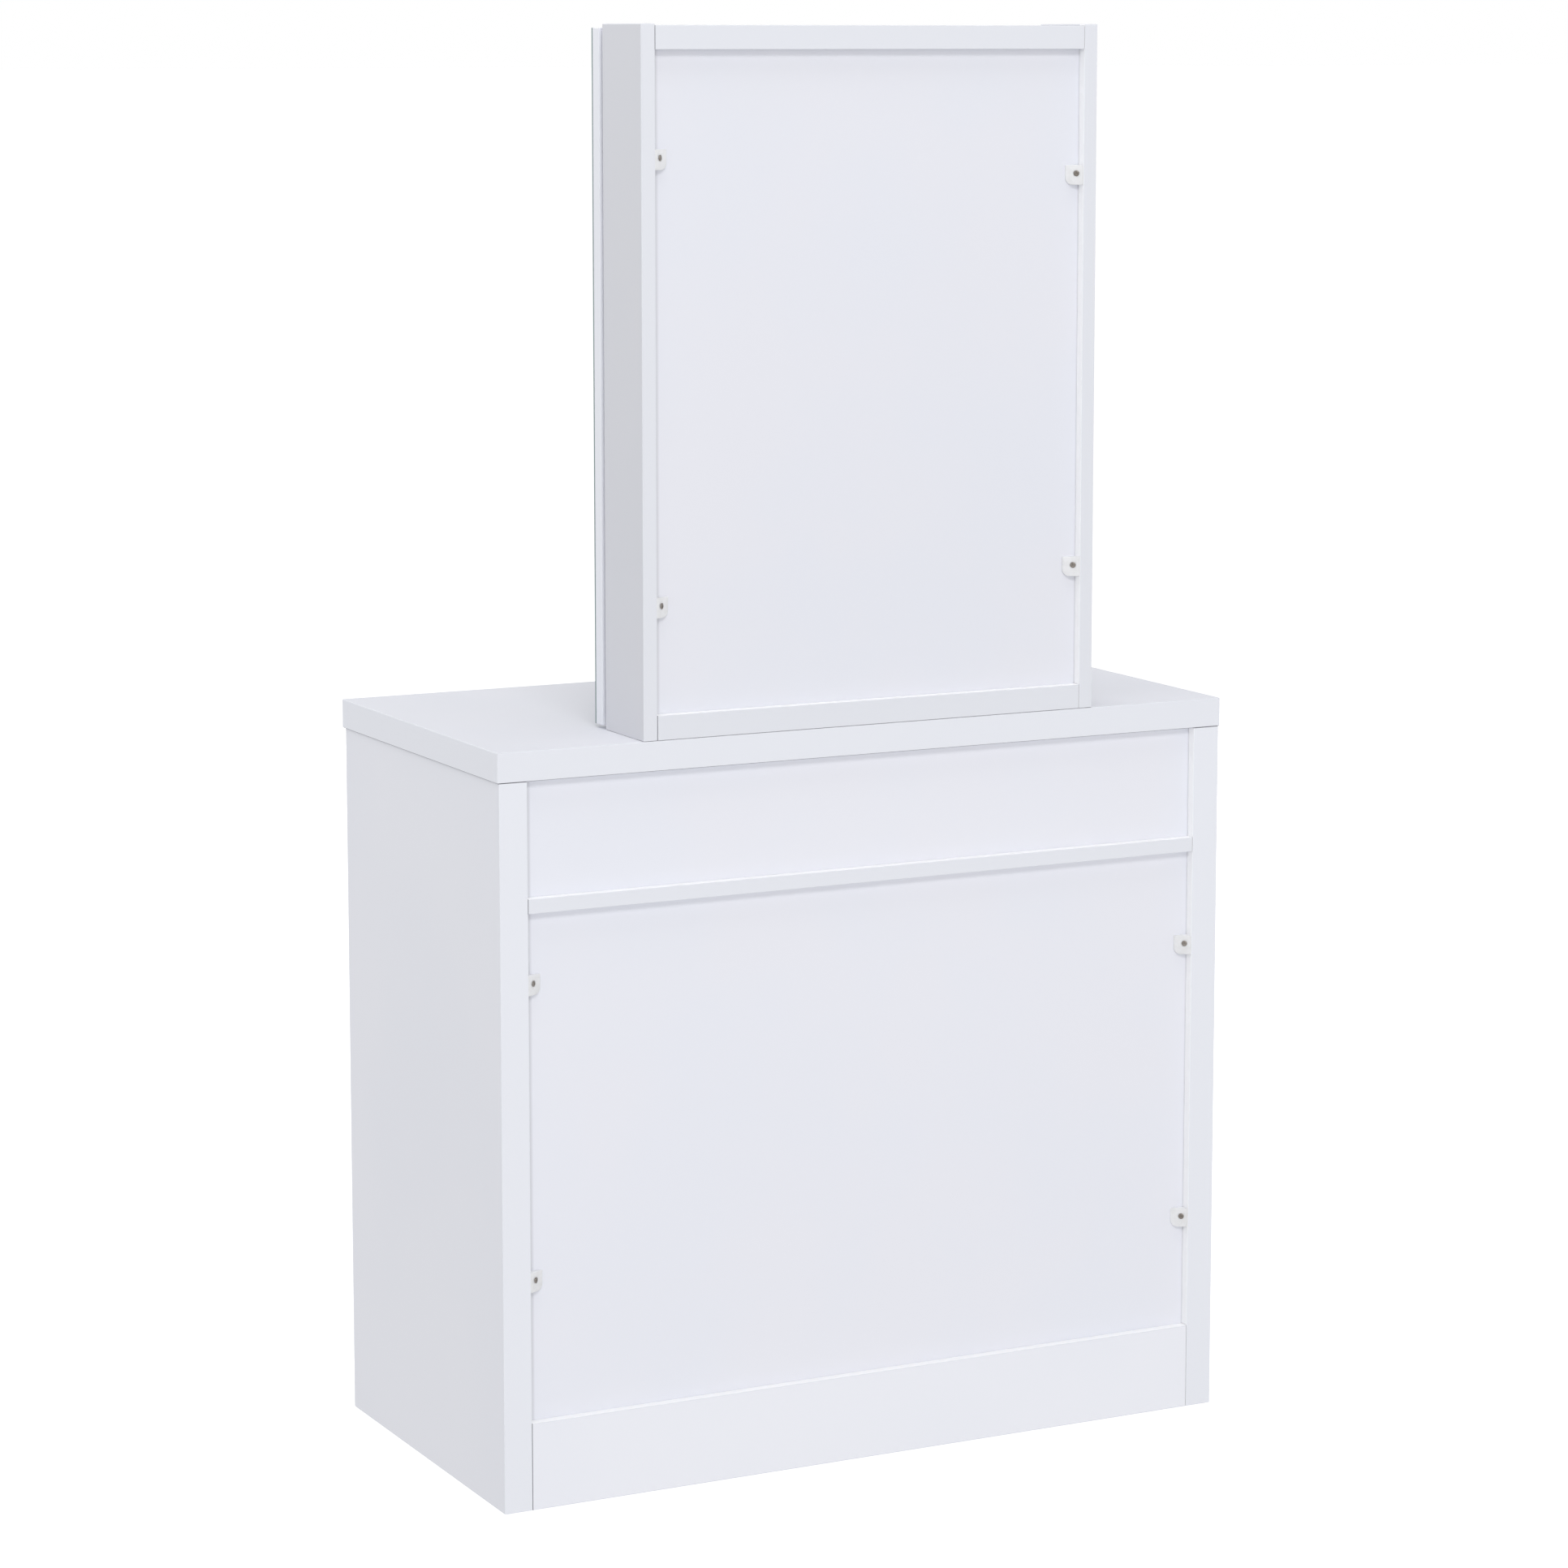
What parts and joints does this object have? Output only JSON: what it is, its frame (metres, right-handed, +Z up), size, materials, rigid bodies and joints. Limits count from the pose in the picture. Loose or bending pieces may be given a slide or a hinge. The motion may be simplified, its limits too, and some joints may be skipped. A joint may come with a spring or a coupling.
{
  "type": "vanity table with mirror",
  "caption": "White dressing table with drawers and a knee space, and on its top a shallow cabinet whose hinged door is a mirror.",
  "frame": {"origin": "on the floor, at the centre of the whole footprint, drawer knobs included", "axes": "+Z up; -Y out of the front, where the drawers and the mirror face the sitter; +Y out of the panelled back; +X to the sitter's right"},
  "size_m": [0.823, 0.426, 1.46],
  "materials": {
    "white_board": "satin white melamine-faced particle board",
    "white_hardboard": "smooth white lacquered hardboard",
    "drawer_board": "matt white foil-wrapped board",
    "mirror_silver": "silvered float glass with a ground edge",
    "white_plastic": "moulded white plastic",
    "dark_screw_steel": "blackened steel",
    "zinc_fittings": "bright zinc-plated die casting",
    "hinge_steel": "nickel-plated steel",
    "catch_plastic": "moulded plastic",
    "runner_steel": "zinc-plated rolled steel",
    "knob_metal": "satin nickel"
  },
  "bodies": {
    "carcass": {"tabletop": "white_board", "side_panel_left": "white_board", "side_panel_right": "white_board", "divider_board": "white_board", "rear_skirt": "white_board", "pedestal_wall": "white_board", "pedestal_floor": "white_board", "front_plinth": "white_board", "drawer_partition": "white_board", "cabinet_side_left": "white_board", "cabinet_side_right": "white_board", "cabinet_floor": "white_board", "cabinet_top": "white_board", "upper_back_panel": "white_hardboard", "lower_back_panel": "white_hardboard", "cabinet_back_panel": "white_hardboard", "panel_clips": "white_plastic", "clip_screws": "dark_screw_steel", "cam_locks": "zinc_fittings", "cam_bolts": "zinc_fittings", "cabinet_shelf_lower": "white_board", "cabinet_shelf_upper": "white_board", "shelf_pins": "zinc_fittings", "cabinet_fixing_screws": "dark_screw_steel", "hinge_frame_leaves": "hinge_steel", "hinge_pins": "hinge_steel", "door_catch": "catch_plastic", "runner_channels": "runner_steel"},
    "mirror_door": {"door_board": "white_board", "mirror_glass": "mirror_silver", "hinge_door_leaves": "hinge_steel", "catch_plate": "zinc_fittings"},
    "wide_drawer": {"wide_drawer_front": "white_board", "wide_drawer_side_left": "drawer_board", "wide_drawer_side_right": "drawer_board", "wide_drawer_back": "drawer_board", "wide_drawer_bottom": "white_hardboard", "wide_drawer_knob": "knob_metal", "wide_drawer_rails": "runner_steel"},
    "small_drawer": {"small_drawer_front": "white_board", "small_drawer_side_left": "drawer_board", "small_drawer_side_right": "drawer_board", "small_drawer_back": "drawer_board", "small_drawer_bottom": "white_hardboard", "small_drawer_knob": "knob_metal", "small_drawer_rails": "runner_steel"},
    "middle_drawer": {"middle_drawer_front": "white_board", "middle_drawer_side_left": "drawer_board", "middle_drawer_side_right": "drawer_board", "middle_drawer_back": "drawer_board", "middle_drawer_bottom": "white_hardboard", "middle_drawer_knob": "knob_metal", "middle_drawer_rails": "runner_steel"},
    "bottom_drawer": {"bottom_drawer_front": "white_board", "bottom_drawer_side_left": "drawer_board", "bottom_drawer_side_right": "drawer_board", "bottom_drawer_back": "drawer_board", "bottom_drawer_bottom": "white_hardboard", "bottom_drawer_knob": "knob_metal", "bottom_drawer_rails": "runner_steel"}
  },
  "joints": [
    {"name": "mirror_door_hinge", "type": "hinge", "parent": "carcass", "child": "mirror_door", "pos_m": [-0.25965, 0.12175, 1.111], "axis": [0, 0, -1], "range_deg": [0, 170]},
    {"name": "wide_drawer_slide", "type": "slide", "parent": "carcass", "child": "wide_drawer", "axis": [0, -1, 0], "range_m": [0, 0.26]},
    {"name": "small_drawer_slide", "type": "slide", "parent": "carcass", "child": "small_drawer", "axis": [0, -1, 0], "range_m": [0, 0.26]},
    {"name": "middle_drawer_slide", "type": "slide", "parent": "carcass", "child": "middle_drawer", "axis": [0, -1, 0], "range_m": [0, 0.26]},
    {"name": "bottom_drawer_slide", "type": "slide", "parent": "carcass", "child": "bottom_drawer", "axis": [0, -1, 0], "range_m": [0, 0.26]}
  ]
}
